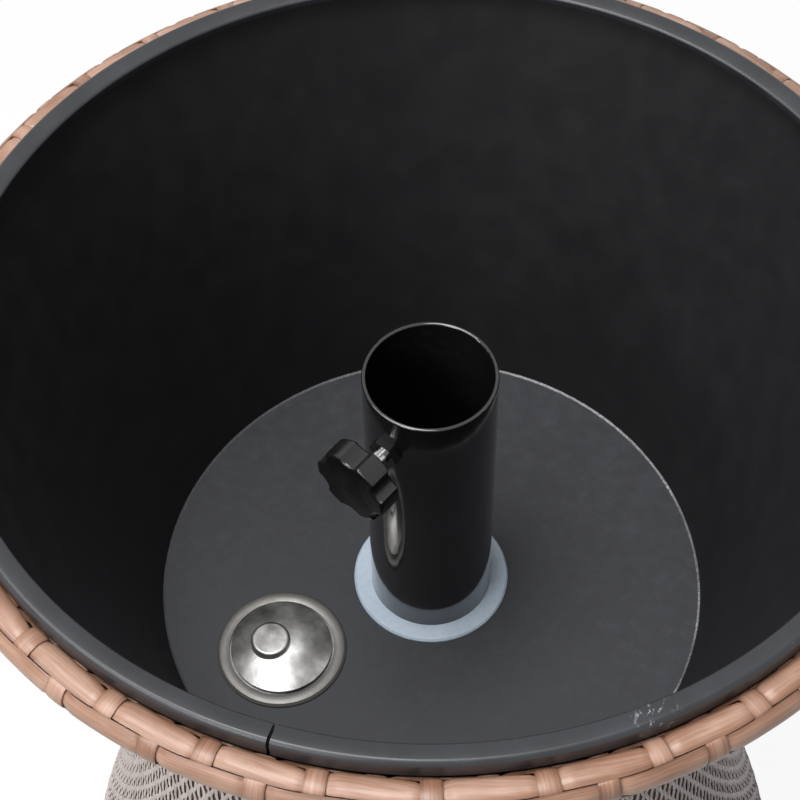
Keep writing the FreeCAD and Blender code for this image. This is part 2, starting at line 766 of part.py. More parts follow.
def make_clamp_knob():
    """Star knob: a round blank with hollows between its lobes and a socket for the screw."""
    body = new_body("clamp_knob")
    outline = new_sketch(body, "XY_Plane")
    draw_circle(outline, dim.knob_radius)
    blank = body.newObject("PartDesign::Pad", "clamp_knob_blank")
    blank.Profile = outline
    bind(blank, Length=dim.knob_thickness)
    doc.recompute()
    notch_sketch = new_sketch(body, "XY_Plane")
    draw_circle(notch_sketch, dim.knob_notch_radius, dim.knob_notch_centre, zero)
    notch = body.newObject("PartDesign::Pocket", "clamp_knob_notch")
    notch.Profile = notch_sketch
    notch.Type = "ThroughAll"
    notch.Midplane = True
    doc.recompute()
    lobes = body.newObject("PartDesign::PolarPattern", "clamp_knob_lobes")
    lobes.Originals = [notch]
    lobes.Axis = (outline, ["N_Axis"])
    lobes.Angle = 360
    bind(lobes, Occurrences=dim.knob_lobes)
    body.Tip = lobes
    doc.recompute()
    rounding = body.newObject("PartDesign::Fillet", "clamp_knob_rounding")
    flat_edges = []
    back = dim.fit_gap.value
    front = (dim.knob_thickness - dim.fit_gap).value
    for number, edge in enumerate(lobes.Shape.Edges, start=1):
        heights = [vertex.Z for vertex in edge.Vertexes]
        if max(heights) < back or min(heights) > front:
            flat_edges.append(f"Edge{number}")
    rounding.Base = (lobes, flat_edges)
    bind(rounding, Radius=dim.knob_edge)
    body.Tip = rounding
    doc.recompute()
    socket_sketch = new_sketch(body, "XY_Plane")
    draw_circle(socket_sketch, dim.bolt_radius + dim.bolt_clearance)
    socket = body.newObject("PartDesign::Pocket", "clamp_knob_socket")
    socket.Profile = socket_sketch
    bind(socket, Length=dim.knob_socket_depth)
    socket.Reversed = True
    body.Tip = socket
    body.Placement = on_clamp_axis(dim.knob_start)
    return keep(body, "clamp_knob")


def make_clamp_pad():
    pad = cylinder("clamp_pad", dim.pad_radius, dim.pad_thickness)
    pad.Placement = on_clamp_axis(dim.sleeve_bore + dim.pad_setback)
    return keep(pad, "clamp_pad")


# Drain

def at_drain(height):
    place = FreeCAD.Vector(dim.drain_x.value, dim.drain_y.value, height.value)
    return FreeCAD.Placement(place, FreeCAD.Rotation())


def keep_drain_piece(body, height, name):
    body.Placement = at_drain(height)
    return keep(body, name)


def make_drain():
    """Flanged drain tube through the floor, with its washer and locknut underneath."""
    seat = dim.drain_tube_length + dim.flange_thickness / 2
    flange_top = dim.drain_tube_length + dim.flange_thickness
    flange_corners = (
        (dim.drain_bore, zero),
        (dim.drain_tube_radius, zero),
        (dim.drain_tube_radius, dim.drain_tube_length),
        (dim.flange_radius, dim.drain_tube_length),
        (dim.flange_radius, seat),
        (dim.flange_radius - dim.flange_thickness / 2, flange_top),
        (dim.flange_step_radius, flange_top),
        (dim.flange_step_radius, seat),
        (dim.drain_bore, seat),
    )
    ring_middle = half_of(dim.flange_step_radius, dim.flange_radius - dim.flange_thickness / 2)
    crest = {5: (ring_middle, flange_top + dim.flange_crown)}
    flange = turned_body("drain_flange", flange_corners, crest)
    keep_drain_piece(flange, floor_top - dim.drain_tube_length, "drain_flange")
    thread_gap = dim.drain_tube_radius + dim.fit_gap
    washer = ring_body("drain_washer", thread_gap, dim.washer_radius, zero, dim.washer_thickness)
    washer_bottom = ledge_top - dim.washer_thickness
    keep_drain_piece(washer, washer_bottom, "drain_washer")
    locknut = ring_body("drain_locknut", thread_gap, dim.locknut_radius, zero, dim.locknut_height)
    keep_drain_piece(locknut, washer_bottom - dim.locknut_height, "drain_locknut")


def make_stopper():
    """Domed lift-out stopper with a button on top and a rubber ring under its edge."""
    seat = floor_top + dim.flange_thickness / 2 + dim.piece_gap / 3
    seal = ring_body(
        "stopper_seal",
        dim.stopper_plug_radius + dim.fit_gap,
        dim.stopper_radius - dim.stopper_edge,
        zero,
        dim.seal_thickness,
    )
    keep_drain_piece(seal, seat, "stopper_seal")
    edge_bottom = dim.stopper_plug_depth
    edge_top = edge_bottom + dim.stopper_edge
    crown = edge_top + dim.stopper_crown
    # The dome is part of a sphere: its height half way out follows from edge and crown.
    sphere = (
        dim.stopper_radius * dim.stopper_radius + dim.stopper_crown * dim.stopper_crown
    ) / (dim.stopper_crown * 2)
    half_way = dim.stopper_radius / 2
    half_height = crown - sphere + root(sphere * sphere - half_way * half_way)
    dome_corners = (
        (zero, zero),
        (dim.stopper_plug_radius, zero),
        (dim.stopper_plug_radius, edge_bottom),
        (dim.stopper_radius, edge_bottom),
        (dim.stopper_radius, edge_top),
        (zero, crown),
    )
    dome = turned_body("drain_stopper", dome_corners, {4: (half_way, half_height)})
    plug_bottom = seat + dim.seal_thickness - dim.stopper_plug_depth
    keep_drain_piece(dome, plug_bottom, "drain_stopper")
    knob_reach = dim.stopper_knob_radius + dim.stopper_knob_shift
    knob_base = crown - sphere + root(sphere * sphere - knob_reach * knob_reach)
    rounding = dim.stopper_knob_height * 0.4
    shoulder = knob_base + dim.stopper_knob_height - rounding
    knob_top = knob_base + dim.stopper_knob_height
    knob_corners = (
        (zero, knob_base),
        (dim.stopper_knob_radius, knob_base),
        (dim.stopper_knob_radius, shoulder),
        (dim.stopper_knob_radius - rounding, knob_top),
        (zero, knob_top),
    )
    corner_reach = rounding * math.sqrt(0.5)
    edge_middle = (dim.stopper_knob_radius - rounding + corner_reach, shoulder + corner_reach)
    blank = turned_body("stopper_knob_blank", knob_corners, {2: edge_middle})
    aside = FreeCAD.Placement(FreeCAD.Vector(-dim.stopper_knob_shift.value, 0, 0), FreeCAD.Rotation())
    blank.Placement = aside.multiply(at_drain(plug_bottom))
    keep(cut("stopper_knob", blank, dome), "stopper_knob")


# Woven skins and rim

def bead_point(centre_radius, centre_height, reach, angle):
    """A point round the rim tube, from its centre line's radius and height."""
    return (
        centre_radius + reach * cosine(angle),
        centre_height + reach * sine(angle),
    )


def wrapped_row(name, centre_radius, centre_height, inner_reach, outer_reach, start, end):
    """Curved strip that follows the rim tube all the way round the table."""
    middle = half_of(start, end)
    near_start = half_of(start, middle)
    near_end = half_of(middle, end)
    corners = (
        bead_point(centre_radius, centre_height, inner_reach, start),
        bead_point(centre_radius, centre_height, outer_reach, start),
        bead_point(centre_radius, centre_height, outer_reach, middle),
        bead_point(centre_radius, centre_height, outer_reach, end),
        bead_point(centre_radius, centre_height, inner_reach, end),
        bead_point(centre_radius, centre_height, inner_reach, middle),
    )
    bulges = {
        1: bead_point(centre_radius, centre_height, outer_reach, near_start),
        2: bead_point(centre_radius, centre_height, outer_reach, near_end),
        4: bead_point(centre_radius, centre_height, inner_reach, near_end),
        5: bead_point(centre_radius, centre_height, inner_reach, near_start),
    }
    return turned_body(name, corners, bulges)


def make_rim_rows():
    """Four flat strips side by side over the straps that wrap the top ring."""
    under_strip = bead_radius - dim.strip_thickness
    rows = (
        ("rim_weaver_inner", dim.inner_row_start, dim.inner_row_end),
        ("rim_weaver_top", dim.top_row_start, dim.top_row_end),
        ("rim_weaver_outer", dim.outer_row_start, dim.outer_row_end),
        ("rim_weaver_under", dim.under_row_start, dim.under_row_end),
    )
    for name, start, end in rows:
        keep(wrapped_row(name, rim_radius, rim_height, under_strip, bead_radius, start, end), name)


def make_rim_stakes():
    """Short straps across the top ring: one strap, copied round the rim."""
    body = new_body("rim_stake")
    sketch = new_sketch(body, "XZ_Plane")
    inner = dim.rim_tube_radius + dim.fit_gap
    outer = inner + dim.strip_thickness
    start = dim.under_row_start
    end = dim.inner_row_end
    middle = half_of(start, end)
    corners = [
        bead_point(rim_radius, rim_height, inner, start),
        bead_point(rim_radius, rim_height, outer, start),
        bead_point(rim_radius, rim_height, outer, end),
        bead_point(rim_radius, rim_height, inner, end),
    ]
    bulges = {
        1: bead_point(rim_radius, rim_height, outer, middle),
        3: bead_point(rim_radius, rim_height, inner, middle),
    }
    draw_outline(sketch, corners, bulges)
    pad = body.newObject("PartDesign::Pad", "rim_stake_pad")
    pad.Profile = sketch
    pad.Midplane = True
    bind(pad, Length=dim.stake_width)
    body.Tip = pad
    doc.recompute()
    straps = []
    for number in range(stake_total):
        strap = body.Shape.copy()
        strap.Placement = turned(front_azimuth + number * stake_pitch)
        straps.append(strap)
    group = doc.addObject("Part::Feature", "rim_stakes")
    group.Shape = Part.makeCompound(straps)
    return keep(group, "rim_stakes")


def make_binding():
    """Cord that covers the skin's upper edge, right under the rim."""
    reach = bead_radius + dim.binding_radius + dim.fit_gap
    ring_radius, height = bead_point(rim_radius, rim_height, reach, dim.binding_angle)
    return keep(tube_ring("rim_binding", ring_radius, dim.binding_radius, height), "rim_binding")


def make_bowl_weave():
    """Woven skin round the bucket, from the waist up to the rim, flared out at its top."""
    skin_bend = inner_bend(dim.weave_thickness)
    corners = (
        (bowl_inside(waist_height), waist_height),
        (bowl_outside(waist_height), waist_height),
        (bowl_outside(bend_height), bend_height),
        (skin_top_radius, skin_top),
        (skin_top_radius - dim.weave_thickness * turn_slant, skin_top),
        (bowl_inside(skin_bend), skin_bend),
    )
    return keep(turned_body("bowl_weave", corners), "bowl_weave")


def make_base_weave():
    """Woven skin of the flared base, from the waist down to the hem."""
    top = waist_height - dim.fit_gap
    bottom = dim.hem_height + dim.hem_radius * 2
    middle = half_of(top, bottom)
    corners = (
        (flare_line(bottom, zero), bottom),
        (flare_line(top, zero), top),
        (flare_line(top, dim.weave_thickness), top),
        (flare_line(bottom, dim.weave_thickness), bottom),
    )
    bulges = {
        0: (flare_line(middle, zero), middle),
        2: (flare_line(middle, dim.weave_thickness), middle),
    }
    return keep(turned_body("base_weave", corners, bulges), "base_weave")


def make_hem():
    height = dim.hem_height + dim.hem_radius
    ring_radius = flare_line(height, dim.weave_thickness / 2)
    return keep(tube_ring("base_hem", ring_radius, dim.hem_radius, height), "base_hem")


# Lid, modelled flat about its own axis with its underside at zero, then leant against the back

lid_bead_height = dim.lid_bead_drop + bead_radius
lid_panel_bottom = dim.lid_seal_thickness
lid_spoke_bottom = lid_panel_bottom + dim.lid_panel_thickness
lid_spoke_top = lid_spoke_bottom + dim.lid_spoke_width
lid_weave_bottom = lid_spoke_top + dim.fit_gap
lid_weave_top = lid_weave_bottom + dim.lid_weave_thickness


def leaning_place():
    """Where the leaning lid's underside centre is, and which way it faces.

    Its lower edge is just off the ground and its upper edge just off the bowl.
    """
    lean = math.radians(dim.lean_angle.value)
    up_plane = FreeCAD.Vector(0, -math.sin(lean), math.cos(lean))
    top_side = FreeCAD.Vector(0, -math.cos(lean), -math.sin(lean))
    edge = up_plane * rim_radius.value
    rise = top_side * lid_bead_height.value
    clearance = bead_radius.value + dim.piece_gap.value
    height = clearance + edge.z - rise.z
    touch_height = height + edge.z + rise.z
    skin = bowl_outside(as_size(touch_height)).value
    distance = skin + clearance * slant.value - edge.y - rise.y
    turn = FreeCAD.Rotation(FreeCAD.Vector(0, 0, 1), top_side)
    return FreeCAD.Placement(FreeCAD.Vector(0, distance, height), turn)


lid_place = leaning_place()


def keep_lid_piece(piece, name):
    piece.Placement = lid_place.multiply(piece.Placement)
    return keep(piece, name)


def make_lid_frame():
    """Edge ring, hub ring and the square bars between them."""
    ring = tube_ring("lid_ring", rim_radius, dim.rim_tube_radius, lid_bead_height)
    tool = tube_ring("lid_ring_tool", rim_radius, dim.rim_tube_radius, lid_bead_height)
    keep_lid_piece(ring, "lid_ring")
    hub = ring_body(
        "lid_hub",
        dim.grommet_radius + dim.fit_gap,
        dim.lid_hub_radius,
        lid_spoke_bottom,
        lid_spoke_top,
    )
    keep_lid_piece(hub, "lid_hub")
    bars = radial_bars(
        "lid_spokes",
        int(dim.lid_spoke_count.value),
        front_azimuth,
        rim_radius,
        dim.lid_spoke_width,
        dim.lid_spoke_width,
        lid_spoke_bottom,
    )
    core = cylinder("lid_spokes_core", dim.lid_hub_radius, dim.total_height)
    inner = cut("lid_spokes_inner", bars, core)
    keep_lid_piece(cut("lid_spokes", inner, tool), "lid_spokes")


def make_lid_covers():
    """Rubber ring, black panel and woven top."""
    hole = dim.grommet_radius + dim.fit_gap * 2
    edge = rim_radius - dim.rim_tube_radius - dim.piece_gap
    seal_inner = half_of(trim_outer, trim_inner) - dim.lid_seal_width / 2
    seal_outer = seal_inner + dim.lid_seal_width
    seal = ring_body("lid_seal", seal_inner, seal_outer, zero, lid_panel_bottom)
    keep_lid_piece(seal, "lid_seal")
    panel = ring_body("lid_panel", hole, edge, lid_panel_bottom, lid_spoke_bottom)
    keep_lid_piece(panel, "lid_panel")
    weave = ring_body("lid_weave", hole, edge, lid_weave_bottom, lid_weave_top)
    keep_lid_piece(weave, "lid_weave")
    edge_weave = wrapped_row(
        "lid_edge_weave",
        rim_radius,
        lid_bead_height,
        dim.rim_tube_radius + dim.fit_gap,
        bead_radius,
        dim.lid_edge_sweep * -1,
        dim.lid_edge_sweep,
    )
    keep_lid_piece(edge_weave, "lid_edge_weave")


def make_lid_grommet():
    """Flanged bush round the pole hole, clipped in from above."""
    lip_top = lid_panel_bottom - dim.fit_gap
    lip_radius = dim.grommet_radius + dim.grommet_lip
    flange_bottom = lid_weave_top + dim.fit_gap
    flange_top = flange_bottom + dim.grommet_flange_height
    bevel = dim.grommet_flange_height / 2
    corners = (
        (dim.lid_hole_radius, zero),
        (dim.grommet_radius, zero),
        (lip_radius, lip_top / 2),
        (lip_radius, lip_top),
        (dim.grommet_radius, lip_top),
        (dim.grommet_radius, flange_bottom),
        (dim.grommet_flange, flange_bottom),
        (dim.grommet_flange, flange_top - bevel),
        (dim.grommet_flange - bevel, flange_top),
        (dim.lid_hole_radius, flange_top),
    )
    keep_lid_piece(turned_body("lid_grommet", corners), "lid_grommet")


# Assembly

def make_table():
    make_bucket_wall()
    make_bucket_floor()
    make_floor_seam()
    make_trim()
    top_ring, waist_ring, base_ring = make_frame_rings()
    for number in range(rib_total):
        make_bowl_rib(number, top_ring, waist_ring)
        make_base_rib(number)
        make_foot(number)
    make_hub()
    make_bucket_spokes()
    make_base_spider(base_ring)
    make_centre_foot()
    make_sleeve()
    make_pole_stop()
    make_gasket()
    make_clamp_nut()
    make_clamp_bolt()
    make_clamp_knob()
    make_clamp_pad()
    make_drain()
    make_stopper()
    make_rim_rows()
    make_rim_stakes()
    make_binding()
    make_bowl_weave()
    make_base_weave()
    make_hem()
    make_lid_frame()
    make_lid_covers()
    make_lid_grommet()


def check_document():
    """Stop before anything is written if an object failed or a sub-part is no sound solid."""
    for item in doc.Objects:
        if "Invalid" in item.State or "Error" in item.State:
            raise RuntimeError(f"{item.Label} failed: {item.State}")
    for piece in sub_parts:
        if piece.Shape.isNull() or not piece.Shape.isValid() or not piece.Shape.Solids:
            raise RuntimeError(f"{piece.Label} is not a sound solid")


def write_parts():
    os.makedirs("parts", exist_ok=True)
    for piece in sub_parts:
        piece.Shape.exportStep(os.path.join("parts", f"{piece.Label}.step"))


make_table()
doc.recompute()
check_document()
write_parts()
for piece in sub_parts:
    box = piece.Shape.BoundBox
    print(
        f"{piece.Label}: {len(piece.Shape.Solids)} solid(s), volume {piece.Shape.Volume:.0f},"
        f" z {box.ZMin:.1f} to {box.ZMax:.1f}, y {box.YMin:.1f} to {box.YMax:.1f}"
    )
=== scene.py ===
import json
import math
import random

import bpy
from mathutils import Matrix, Vector


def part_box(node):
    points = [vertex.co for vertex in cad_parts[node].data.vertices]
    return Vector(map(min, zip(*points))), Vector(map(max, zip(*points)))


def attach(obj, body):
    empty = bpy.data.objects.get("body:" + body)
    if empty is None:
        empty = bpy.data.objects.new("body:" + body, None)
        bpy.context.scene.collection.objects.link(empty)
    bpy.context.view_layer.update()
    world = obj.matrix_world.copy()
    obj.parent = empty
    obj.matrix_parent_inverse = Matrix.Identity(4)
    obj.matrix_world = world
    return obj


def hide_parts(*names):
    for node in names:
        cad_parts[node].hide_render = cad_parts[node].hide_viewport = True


# Woven cooler table: metres, +Z up, the photograph taken from -Y and above.

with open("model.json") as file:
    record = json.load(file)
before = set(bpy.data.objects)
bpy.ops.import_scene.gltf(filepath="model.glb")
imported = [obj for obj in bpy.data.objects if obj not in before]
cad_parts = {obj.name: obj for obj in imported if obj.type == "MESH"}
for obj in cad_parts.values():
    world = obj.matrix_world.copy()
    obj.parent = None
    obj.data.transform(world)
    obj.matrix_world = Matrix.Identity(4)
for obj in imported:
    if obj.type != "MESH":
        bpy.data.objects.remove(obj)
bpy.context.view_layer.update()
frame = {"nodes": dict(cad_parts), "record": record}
random.seed(7)
MM = 0.001


# Camera

FOCAL_PX = 1732.1
IMAGE_PX = 800.0
CAMERA_PLACE = Vector((0.0, -0.4528, 1.095))
PITCH, YAW, ROLL = (math.radians(a) for a in (53.581, -1.003, -0.189))


def make_camera():
    ahead = Vector((0, math.cos(PITCH), -math.sin(PITCH)))
    above = Vector((0, math.sin(PITCH), math.cos(PITCH)))
    right = Vector((1, 0, 0))
    forward = ahead * math.cos(YAW) + right * math.sin(YAW)
    side = right * math.cos(YAW) - ahead * math.sin(YAW)
    across = side * math.cos(ROLL) + above * math.sin(ROLL)
    up = above * math.cos(ROLL) - side * math.sin(ROLL)
    data = bpy.data.cameras.new("camera")
    data.sensor_width = 36.0
    data.lens = FOCAL_PX * data.sensor_width / IMAGE_PX
    data.clip_start = 0.02
    camera = bpy.data.objects.new("camera", data)
    bpy.context.scene.collection.objects.link(camera)
    turn = Matrix((across, up, -forward)).transposed().to_4x4()
    camera.matrix_world = Matrix.Translation(CAMERA_PLACE) @ turn
    bpy.context.scene.camera = camera


# Materials

def linear(rgb):
    out = []
    for value in rgb:
        v = value / 255
        out.append(v / 12.92 if v <= 0.04045 else ((v + 0.055) / 1.055) ** 2.4)
    return (*out, 1.0)


class Finish:
    """A node material: a Principled shader with the textures that feed it."""

    def __init__(self, name, **fixed):
        self.material = bpy.data.materials.new(name)
        self.material.use_nodes = True
        self.tree = self.material.node_tree
        self.shader = self.tree.nodes["Principled BSDF"]
        for socket, value in fixed.items():
            self.shader.inputs[socket.replace("_", " ")].default_value = value

    def node(self, kind, inputs=(), **settings):
        made = self.tree.nodes.new(kind)
        for key, value in settings.items():
            setattr(made, key, value)
        for socket, value in dict(inputs).items():
            self.feed(made.inputs[socket], value)
        return made

    def feed(self, socket, value):
        if isinstance(value, bpy.types.NodeSocket):
            self.tree.links.new(value, socket)
        else:
            socket.default_value = value

    def set(self, socket, value):
        self.feed(self.shader.inputs[socket], value)

    def place(self, stretch=(1, 1, 1), uv=None):
        if uv:
            source = self.node("ShaderNodeUVMap", uv_map=uv).outputs["UV"]
        else:
            source = self.node("ShaderNodeTexCoord").outputs["Object"]
        return self.node("ShaderNodeMapping", {"Vector": source, "Scale": stretch}).outputs["Vector"]

    def noise(self, place, scale, detail=4.0, rough=0.55):
        sockets = {"Vector": place, "Scale": scale, "Detail": detail, "Roughness": rough}
        return self.node("ShaderNodeTexNoise", sockets).outputs["Fac"]

    def ramp(self, value, stops):
        made = self.node("ShaderNodeValToRGB", {"Fac": value})
        points = made.color_ramp.elements
        while len(points) < len(stops):
            points.new(0.5)
        for point, (at, rgb) in zip(points, stops):
            point.position = at
            point.color = linear(rgb)
        return made.outputs["Color"]

    def span(self, value, low, high, out_low, out_high):
        sockets = {0: value, 1: low, 2: high, 3: out_low, 4: out_high}
        return self.node("ShaderNodeMapRange", sockets).outputs["Result"]

    def calc(self, kind, a, b):
        return self.node("ShaderNodeMath", {0: a, 1: b}, operation=kind).outputs["Value"]

    def mix(self, share, a, b):
        made = self.node("ShaderNodeMix", data_type="RGBA", blend_type="MIX")
        self.feed(made.inputs[0], share)
        self.feed(made.inputs[6], a)
        self.feed(made.inputs[7], b)
        return made.outputs[2]

    def bump(self, height, strength, depth, under=None):
        sockets = {"Height": height, "Strength": strength, "Distance": depth}
        if under is not None:
            sockets["Normal"] = under
        made = self.node("ShaderNodeBump", sockets)
        self.set("Normal", made.outputs["Normal"])
        return made.outputs["Normal"]


def coat(name, stops, rough, scale, strength=0.2, depth=0.1, stretch=(1, 1, 1), **fixed):
    """Grained coat: colour stops over a coarse and a fine noise, roughness between two values."""
    finish = Finish(name, **fixed)
    place = finish.place(stretch)
    broad = finish.noise(place, scale / 16, 3.0)
    fine = finish.noise(place, scale, 5.0)
    blend = finish.span(finish.calc("ADD", broad, fine), 0.6, 1.4, 0.0, 1.0)
    finish.set("Base Color", finish.ramp(blend, stops))
    finish.set("Roughness", finish.span(broad, 0.35, 0.65, rough[0], rough[1]))
    finish.bump(fine, strength, depth * MM)
    return finish


def wicker(name, dark, mid, light, rough, streak=260.0):
    """Flat woven strip: streaks along it, painted shade darkening its rounded edges and underside, and a tint
    that differs a little by strip.
    """
    finish = Finish(name, Specular_IOR_Level=0.55)
    along = finish.place((9, streak, 1), uv="strip")
    patch = finish.place((28, 60, 1), uv="strip")
    streaks = finish.noise(along, 5.0, 4.0, 0.6)
    patches = finish.noise(patch, 1.0, 3.0)
    tint = finish.node("ShaderNodeAttribute", attribute_name="tint").outputs["Fac"]
    edge = finish.node("ShaderNodeAttribute", attribute_name="edge").outputs["Fac"]
    level = finish.calc("ADD", finish.calc("MULTIPLY", streaks, 0.45), finish.calc("MULTIPLY", patches, 0.55))
    level = finish.calc("ADD", level, finish.calc("MULTIPLY", tint, 0.24))
    # Painted shade: the edge attribute darkens the strip's rounded sides and underside.
    level = finish.calc("SUBTRACT", level, finish.calc("MULTIPLY", edge, 0.2))
    finish.set("Base Color", finish.ramp(level, ((0.3, dark), (0.54, mid), (0.82, light))))
    finish.set("Roughness", finish.span(patches, 0.3, 0.7, rough[0], rough[1]))
    finish.bump(streaks, 0.2, 0.2 * MM)
    return finish


def make_materials():
    made = {}
    made["liner_coat"] = coat(
        "liner_coat", ((0.0, (26, 26, 28)), (0.55, (29, 29, 31)), (1.0, (33, 33, 35))),
        (0.46, 0.54), 900.0, 0.1, 0.05, Specular_IOR_Level=0.22)
    made["floor_coat"] = coat(
        "floor_coat", ((0.0, (43, 44, 47)), (0.5, (50, 51, 55)), (1.0, (63, 64, 68))),
        (0.5, 0.62), 2400.0, 0.35, 0.12, Specular_IOR_Level=0.35)
    made["sealant"] = sealant_finish()
    made["trim_plastic"] = trim_finish()
    made["frame_steel"] = coat(
        "frame_steel", ((0.0, (44, 37, 34)), (0.5, (58, 49, 44)), (1.0, (70, 60, 54))),
        (0.4, 0.55), 1600.0, 0.4, 0.15)
    made["foot_rubber"] = coat(
        "foot_rubber", ((0.0, (22, 22, 22)), (1.0, (38, 38, 38))), (0.7, 0.85), 1200.0, 0.4, 0.1)
    made["sleeve_coat"] = coat(
        "sleeve_coat", ((0.0, (16, 16, 17)), (0.6, (21, 21, 22)), (1.0, (29, 29, 30))),
        (0.07, 0.13), 260.0, 0.12, 0.12, Coat_Weight=0.6, Coat_Roughness=0.05)
    made["gasket_white"] = coat(
        "gasket_white", ((0.0, (178, 192, 206)), (0.5, (190, 204, 219)), (1.0, (201, 214, 228))),
        (0.45, 0.6), 500.0, 0.15, 0.1)
    made["zinc"] = coat(
        "zinc", ((0.0, (176, 178, 176)), (0.5, (206, 208, 206)), (1.0, (232, 233, 230))),
        (0.16, 0.3), 1500.0, 0.3, 0.08, Metallic=1.0)
    made["knob_plastic"] = coat(
        "knob_plastic", ((0.0, (15, 15, 16)), (0.6, (22, 22, 23)), (1.0, (32, 32, 33))),
        (0.2, 0.34), 900.0, 0.25, 0.12)
    made["seal_rubber"] = coat(
        "seal_rubber", ((0.0, (24, 24, 25)), (1.0, (42, 42, 43))), (0.6, 0.75), 900.0, 0.3, 0.1)
    made["drain_steel"] = drain_finish()
    made["wicker"] = wicker("wicker", (94, 64, 50), (144, 106, 85), (188, 154, 136), (0.34, 0.46))
    made["net"] = wicker("net", (150, 136, 131), (184, 172, 168), (208, 197, 193), (0.42, 0.55), 400.0)
    # Backing: a dark brown sheet behind the net, painted shade for the dark seen through the gaps between
    # strands.
    made["backing"] = coat(
        "backing", ((0.0, (62, 46, 39)), (0.5, (78, 60, 52)), (1.0, (96, 76, 67))),
        (0.6, 0.75), 300.0, 0.3, 0.3)
    made["binding_cord"] = cord_finish()
    return {name: finish.material for name, finish in made.items()}


SCUFF_PLACE = (0.077, -0.1852, 0.549)


def trim_finish():
    """Satin edge strip with a faint grain and a few pale rubbed marks."""
    finish = Finish("trim_plastic", Specular_IOR_Level=0.5)
    place = finish.place()
    fine = finish.noise(place, 1500.0, 5.0)
    broad = finish.noise(place, 40.0, 3.0)
    body = finish.ramp(finish.span(finish.calc("ADD", broad, fine), 0.7, 1.3, 0, 1),
                       ((0.0, (32, 33, 37)), (0.5, (37, 38, 42)), (1.0, (44, 45, 50))))
    rubbed = finish.noise(finish.place((1, 1.4, 3)), 190.0, 6.0, 0.72)
    where = finish.noise(place, 9.0, 1.0)
    rub_depth = finish.span(rubbed, 0.66, 0.74, 0, 1)
    marks = finish.calc("MULTIPLY", rub_depth, finish.span(where, 0.56, 0.66, 0, 0.4))
    sockets = {0: place, 1: SCUFF_PLACE}
    scuff = finish.node("ShaderNodeVectorMath", sockets, operation="DISTANCE").outputs["Value"]
    scratches = finish.noise(finish.place((1, 0.5, 1)), 420.0, 4.0, 0.6)
    scuff_depth = finish.span(scuff, 0.003, 0.01, 0.8, 0)
    near = finish.calc("MULTIPLY", scuff_depth, finish.span(scratches, 0.55, 0.63, 0, 1))
    finish.set("Base Color", finish.mix(finish.calc("MAXIMUM", marks, near), body, linear((168, 170, 174))))
    finish.set("Roughness", finish.span(broad, 0.35, 0.65, 0.34, 0.4))
    finish.bump(fine, 0.15, 0.06 * MM)
    return finish


def sealant_finish():
    """Bead of sealant, dull grey, painted paler towards the right (+X) as painted light where the lamp from
    the left falls on it.
    """
    finish = Finish("sealant")
    place = finish.place()
    fine = finish.noise(place, 1300.0, 5.0)
    broad = finish.noise(place, 34.0, 3.0)
    across = finish.node("ShaderNodeSeparateXYZ", {"Vector": place}).outputs["X"]
    # Painted light: the bead turns paler towards +X, on the lit right side.
    painted_light_right = finish.span(across, -0.11, 0.03, 0.0, 1.0)
    pale = finish.calc("MULTIPLY", painted_light_right, finish.span(broad, 0.38, 0.6, 0.35, 1.0))
    dull = finish.ramp(fine, ((0.3, (52, 53, 55)), (0.7, (92, 93, 94))))
    lit_bead = finish.ramp(fine, ((0.35, (72, 73, 74)), (0.5, (128, 129, 131)), (0.7, (190, 191, 193))))
    finish.set("Base Color", finish.mix(pale, dull, lit_bead))
    finish.set("Roughness", finish.span(fine, 0.3, 0.7, 0.3, 0.45))
    finish.bump(fine, 0.5, 0.3 * MM)
    return finish


def drain_finish():
    """Bright steel, turned: fine rings about the drain's own axis, with soft smears."""
    finish = Finish("drain_steel")
    middle = drain_centre()
    source = finish.node("ShaderNodeTexCoord").outputs["Object"]
    moved = finish.node("ShaderNodeVectorMath", {0: source, 1: (middle.x, middle.y, 0)}, operation="SUBTRACT")
    flat = finish.node("ShaderNodeVectorMath", {0: moved.outputs[0], 1: (1, 1, 0)}, operation="MULTIPLY")
    reach = finish.node("ShaderNodeVectorMath", {0: flat.outputs[0]}, operation="LENGTH").outputs["Value"]
    smear = finish.noise(moved.outputs[0], 70.0, 3.0, 0.5)
    rings = finish.node("ShaderNodeCombineXYZ", {"X": finish.calc("MULTIPLY", reach, 3.0)}).outputs[0]
    turned = finish.noise(rings, 1100.0, 2.0)
    flatness = finish.span(reach, 0.0252, 0.0262, 0.0, 1.0)
    grey = finish.ramp(smear, ((0.3, (112, 111, 110)), (0.5, (160, 159, 157)), (0.7, (206, 205, 203))))
    ring = finish.ramp(turned, ((0.3, (98, 96, 93)), (0.7, (128, 126, 122))))
    finish.set("Base Color", finish.mix(flatness, grey, ring))
    finish.set("Metallic", finish.span(flatness, 0.0, 1.0, 0.84, 0.6))
    duller = finish.calc("MULTIPLY", flatness, 0.12)
    finish.set("Roughness", finish.calc("ADD", duller, finish.span(smear, 0.3, 0.7, 0.3, 0.38)))
    first = finish.bump(turned, 0.12, 0.05 * MM)
    finish.bump(smear, 0.35, 1.1 * MM, first)
    return finish


